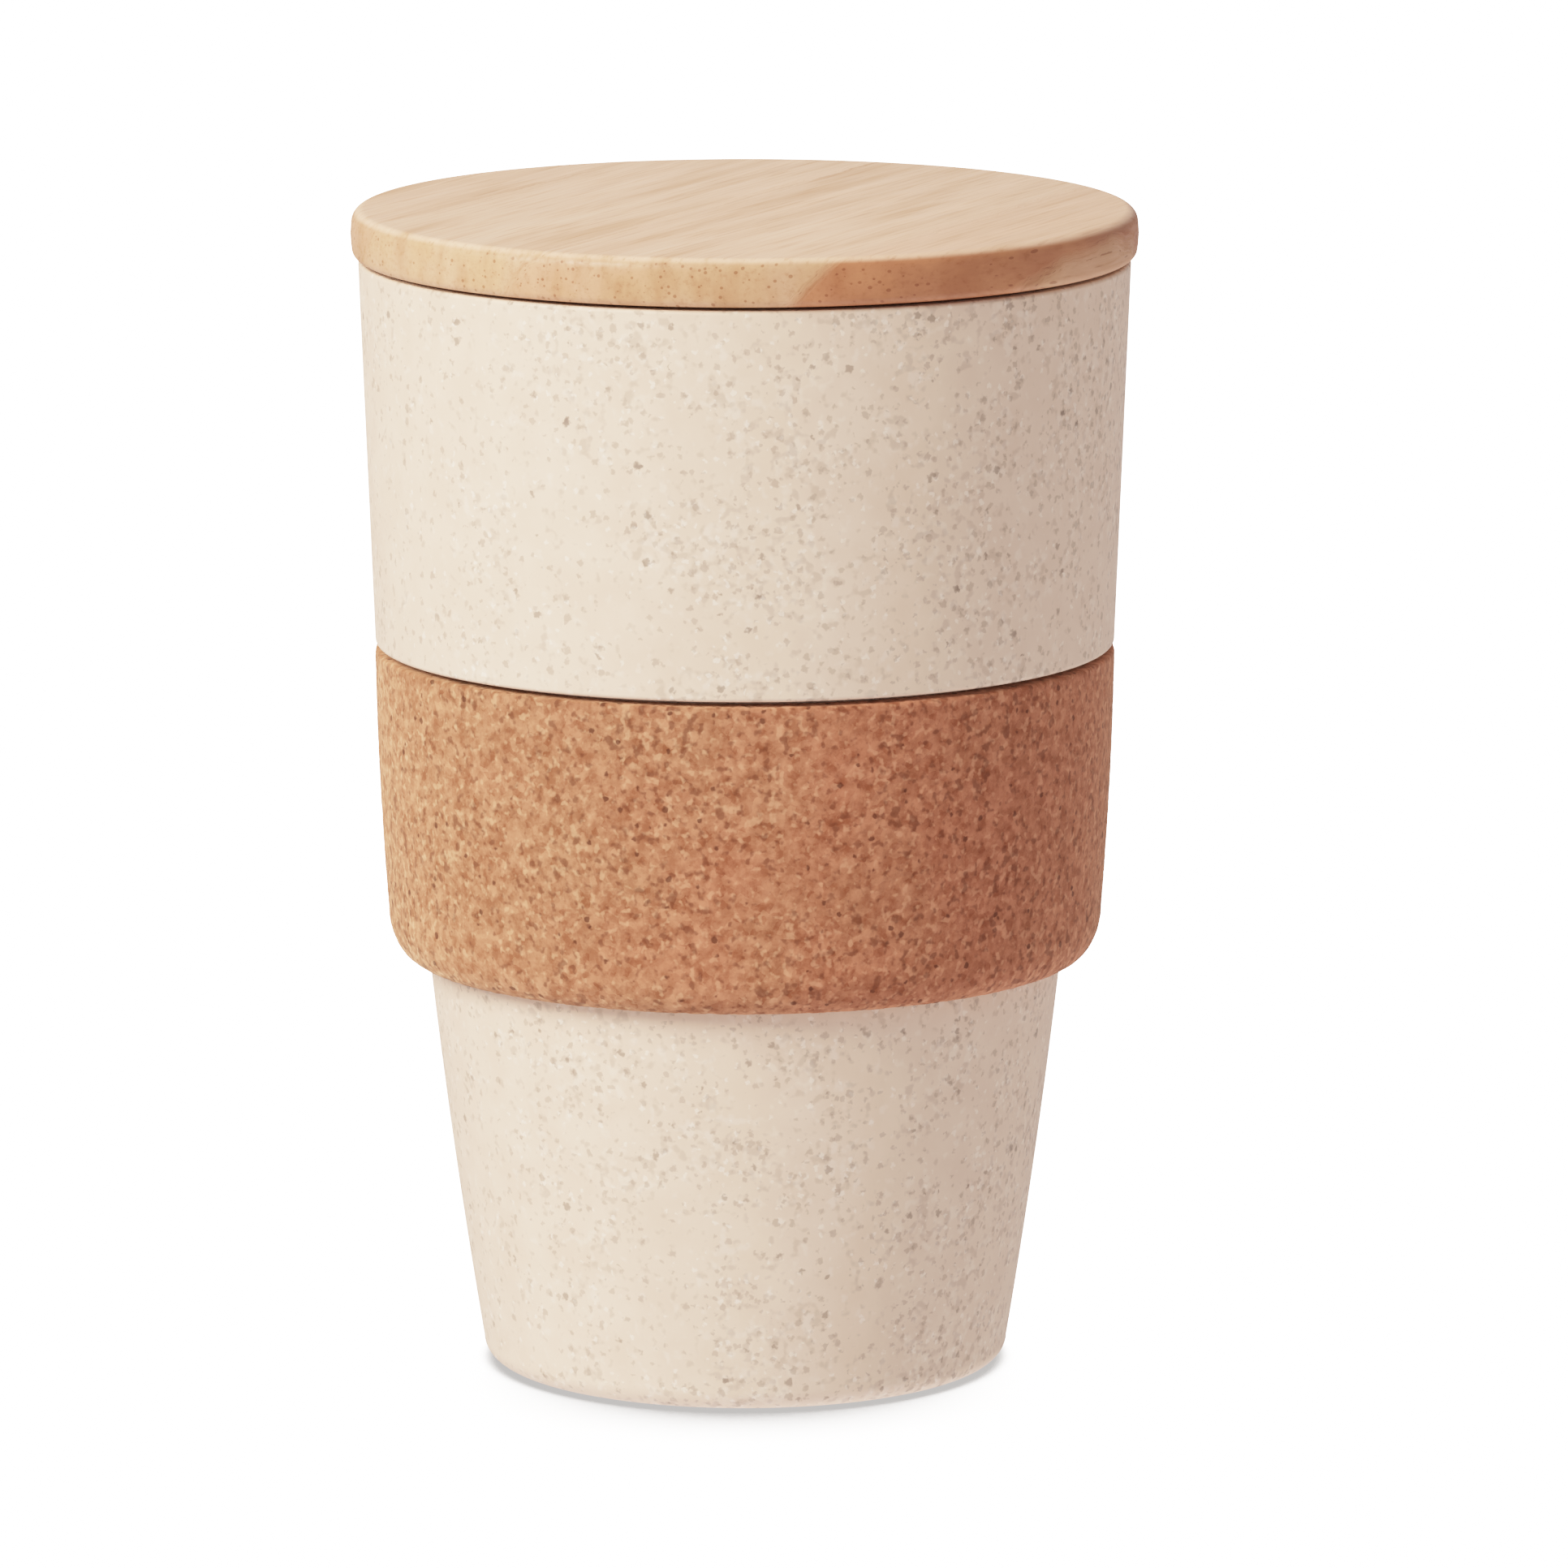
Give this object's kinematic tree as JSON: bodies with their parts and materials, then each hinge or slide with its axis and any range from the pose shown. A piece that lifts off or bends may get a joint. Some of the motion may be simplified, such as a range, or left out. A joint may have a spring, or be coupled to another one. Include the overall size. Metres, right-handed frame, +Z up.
{
  "type": "travel mug",
  "caption": "Double-wall travel mug: tapered speckled cup with a stepped waist, a cork sleeve under its ledge, and a push-in bamboo lid sealed by a silicone ring.",
  "frame": {"origin": "centre of the mug's footprint, on the surface it stands on", "axes": "+Z up along the mug's axis; X and Y are any two level directions, because the mug is round"},
  "size_m": [0.0916, 0.0916, 0.1367],
  "materials": {
    "speckled_composite": "matte moulded composite with fine brown specks",
    "liner_composite": "smooth satin moulding",
    "cork": "bare granulated cork",
    "bamboo": "sanded bamboo with a thin satin finish",
    "plug_plastic": "satin moulded plastic",
    "silicone": "soft translucent silicone"
  },
  "bodies": {
    "cup": {"outer_shell": "speckled_composite", "inner_liner": "liner_composite"},
    "sleeve": {"cork_sleeve": "cork"},
    "lid": {"lid_disc": "bamboo", "lid_plug": "plug_plastic", "lid_gasket": "silicone"}
  },
  "joints": [
    {"name": "lid_lift", "type": "slide", "parent": "cup", "child": "lid", "axis": [0, 0, 1], "range_m": [0, 0.06]},
    {"name": "sleeve_slide", "type": "slide", "parent": "cup", "child": "sleeve", "axis": [0, 0, -1], "range_m": [0, 0.048]}
  ]
}
